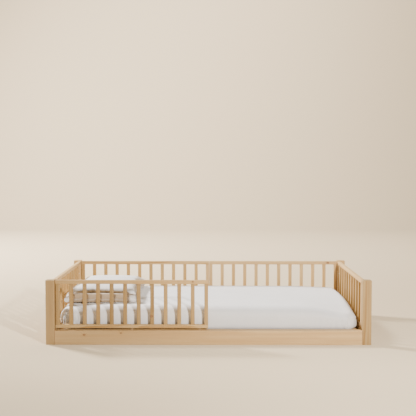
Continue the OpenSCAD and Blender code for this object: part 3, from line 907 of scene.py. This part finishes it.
def topBelow(tree, spot):
    # the height of the pillow below at this spot, or None beside it
    hit = tree.ray_cast(Vector((spot.x, spot.y, rayStart)), Vector((0, 0, -1)))[0]
    return hit.z if hit else None


def settle(pillow, below, reaches, underside):
    # the rim sinks onto the pillow below, both faces of the case by the same amount
    tree = BVHTree.FromObject(below, bpy.context.evaluated_depsgraph_get())
    half = len(reaches) // 2
    for index in range(half):
        pair = (index, index + half) if underside[index] else (index + half, index)
        bottom = pillow.data.vertices[pair[0]].co
        top = topBelow(tree, bottom)
        floor = pillowHigh.z - overhangDrop if top is None else top + airGap
        drop = min(settleDepth, max(0.0, bottom.z - floor)) * ease(reaches[index], settleFrom, 1.0)
        for number in pair:
            pillow.data.vertices[number].co.z -= drop


def clearOf(pillow, below):
    # lifts what would touch, and keeps a hair of air
    tree = BVHTree.FromObject(below, bpy.context.evaluated_depsgraph_get())
    for vertex in pillow.data.vertices:
        top = topBelow(tree, vertex.co)
        if top is not None and vertex.co.z < top + airGap:
            vertex.co.z = top + airGap


def makePillow(name, shape, below):
    low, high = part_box(shape["node"])
    size = high - low
    widthX, widthY = size.x * shape["grow"], size.y * shape["grow"]
    pillow = blankCase(name, shape, widthX, widthY)
    flatPlaces = [(vertex.co.x, vertex.co.y, 0) for vertex in pillow.data.vertices]
    storeFlat(pillow, flatPlaces)
    underside = undersideOf(pillow)
    inflate(pillow, shape)
    reaches = layDown(pillow, shape, flatPlaces, underside, widthX / 2, widthY / 2)
    if below:
        settle(pillow, below, reaches, underside)
    smooth = pillow.modifiers.new("smooth", "SUBSURF")
    smooth.levels = 1
    smooth.render_levels = 1
    bpy.context.view_layer.objects.active = pillow
    bpy.ops.object.modifier_apply(modifier="smooth")
    if below:
        clearOf(pillow, below)
    bpy.ops.object.shade_smooth()
    setMaterial(pillow, clothMaterial(name + "Cotton", pillowCottonLook, (widthX / 2, widthY / 2)))
    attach(pillow, shape["node"])
    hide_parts(shape["node"])
    return pillow


makeMattress(mattressShape)
fittedSheet = makeSheet(sheetShape)
print("mattress and fitted sheet made:", len(fittedSheet.data.polygons), "faces")
lowerPillow = makePillow("lowerPillow", pillowShapes["lowerPillow"], None)
upperPillow = makePillow("upperPillow", pillowShapes["upperPillow"], lowerPillow)
print("pillows made:", len(lowerPillow.data.polygons), len(upperPillow.data.polygons), "faces")

studio = {
    "wallAt": 8.0,
    "front": -9.0,
    "side": 15.0,
    "height": 9.0,
    "cove": 4.0,
    "coveSteps": 24,
    "paper": (0.735, 0.600, 0.410, 1.0),
    "edgeShade": 0.86,      # brightness that is left away from the bright spot
    "brightSpot": (-0.6, 4.5, 1.0),
    "brightReach": (3.0, 10.5),
    "frontShade": 0.72,     # and what is left in front of the bed
    "frontReach": (-0.95, -2.0),
    "worldColour": (0.86, 0.765, 0.620, 1.0),
    "worldStrength": 0.38,
}
studioLights = {
    "keyLight": {"place": (-6.2, 3.6, 5.2), "target": (0, 0, 0.2), "size": 1.3, "power": 2400.0,
                 "colour": (1.0, 0.965, 0.92)},
    "fillLight": {"place": (1.42, -3.70, 1.85), "target": (0, 0, 0.3), "size": 0.15, "power": 225.0,
                  "colour": (1.0, 0.960, 0.905)},
    "wallWash": {"place": (0.3, 3.6, 6.5), "target": (-0.3, 8.0, 2.2), "size": 5.0, "power": 560.0,
                 "colour": (1.0, 0.965, 0.92)},
}


def paperMaterial(look):
    material, tree, shader = newMaterial("studioPaper", {"Roughness": 0.92, "Specular IOR Level": 0.15})
    place = addNode(tree, "ShaderNodeTexCoord", 0, 0).outputs["Object"]
    cloud = plainNoise(tree, 1, 0, place, 0.25, 2.0)
    away = vectorCalc(tree, "DISTANCE", 1, 2, place, look["brightSpot"])
    edge = smoothStep(tree, 2, 2, away, *look["brightReach"])
    mask = calc(tree, "MULTIPLY_ADD", 3, 1, cloud, 0.10, edge, clamp=True)
    darker = tuple(value * look["edgeShade"] for value in look["paper"][:3]) + (1.0,)
    front = tuple(value * look["frontShade"] for value in look["paper"][:3]) + (1.0,)
    depth = addNode(tree, "ShaderNodeSeparateXYZ", 3, 3, {0: place}).outputs[1]
    paper = mixColour(tree, 4, 0, mask, look["paper"], darker)
    paper = mixColour(tree, 6, 0, smoothStep(tree, 5, 2, depth, *look["frontReach"]), paper, front)
    tree.links.new(paper, shader.inputs["Base Color"])
    return material


def makeBackdrop(look):
    # a floor whose far edge is pulled up into a wall and rounded into a cove
    bpy.ops.object.select_all(action="DESELECT")
    depth = look["wallAt"] - look["front"]
    closeEnough = 0.01
    bpy.ops.mesh.primitive_plane_add(size=1, location=(0, look["front"] + depth / 2, 0))
    drop = bpy.context.object
    drop.name = "backdrop"
    drop.scale = (look["side"] * 2, depth, 1)
    bpy.ops.object.transform_apply(location=True, rotation=False, scale=True)
    bpy.ops.object.mode_set(mode="EDIT")
    mesh = bmesh.from_edit_mesh(drop.data)
    for edge in mesh.edges:
        edge.select_set(all(vertex.co.y > look["wallAt"] - closeEnough for vertex in edge.verts))
    mesh.select_flush_mode()
    bmesh.update_edit_mesh(drop.data)
    bpy.ops.mesh.extrude_region_move(TRANSFORM_OT_translate={"value": (0, 0, look["height"])})
    mesh = bmesh.from_edit_mesh(drop.data)
    for edge in mesh.edges:
        edge.select_set(all(abs(vertex.co.z) < closeEnough and vertex.co.y > look["wallAt"] - closeEnough
                            for vertex in edge.verts))
    bmesh.update_edit_mesh(drop.data)
    bpy.ops.mesh.bevel(offset=look["cove"], segments=look["coveSteps"], profile=0.5)
    bpy.ops.object.mode_set(mode="OBJECT")
    bpy.ops.object.shade_smooth()
    setMaterial(drop, paperMaterial(look))


def addLight(name, look):
    data = bpy.data.lights.new(name, "AREA")
    data.shape = "SQUARE"
    data.size = look["size"]
    data.energy = look["power"]
    data.color = look["colour"]
    lamp = bpy.data.objects.new(name, data)
    bpy.context.scene.collection.objects.link(lamp)
    lamp.location = look["place"]
    lamp.rotation_euler = (Vector(look["target"]) - lamp.location).to_track_quat("-Z", "Y").to_euler()


def addAir(look):
    world = bpy.data.worlds.new("studioAir")
    bpy.context.scene.world = world
    world.use_nodes = True
    world.node_tree.nodes["Background"].inputs[0].default_value = look["worldColour"]
    world.node_tree.nodes["Background"].inputs[1].default_value = look["worldStrength"]


# down, aside and roll are degrees
view = {"place": (0.0284, -5.245, 1.127), "down": 3.232, "aside": 0.371, "roll": 0.005, "lens": 66.0,
        "sensor": 36}


def addCamera(look):
    data = bpy.data.cameras.new("camera")
    data.lens = look["lens"]
    data.sensor_width = look["sensor"]
    camera = bpy.data.objects.new("camera", data)
    bpy.context.scene.collection.objects.link(camera)
    camera.location = look["place"]
    turn = Matrix.Rotation(math.radians(look["aside"]), 3, "Z")
    turn = turn @ Matrix.Rotation(math.radians(90 - look["down"]), 3, "X")
    turn = turn @ Matrix.Rotation(math.radians(look["roll"]), 3, "Z")
    camera.rotation_euler = turn.to_euler()
    bpy.context.scene.camera = camera


makeBackdrop(studio)
for name, look in studioLights.items():
    addLight(name, look)
addAir(studio)
addCamera(view)
print("studio, lights and camera set")
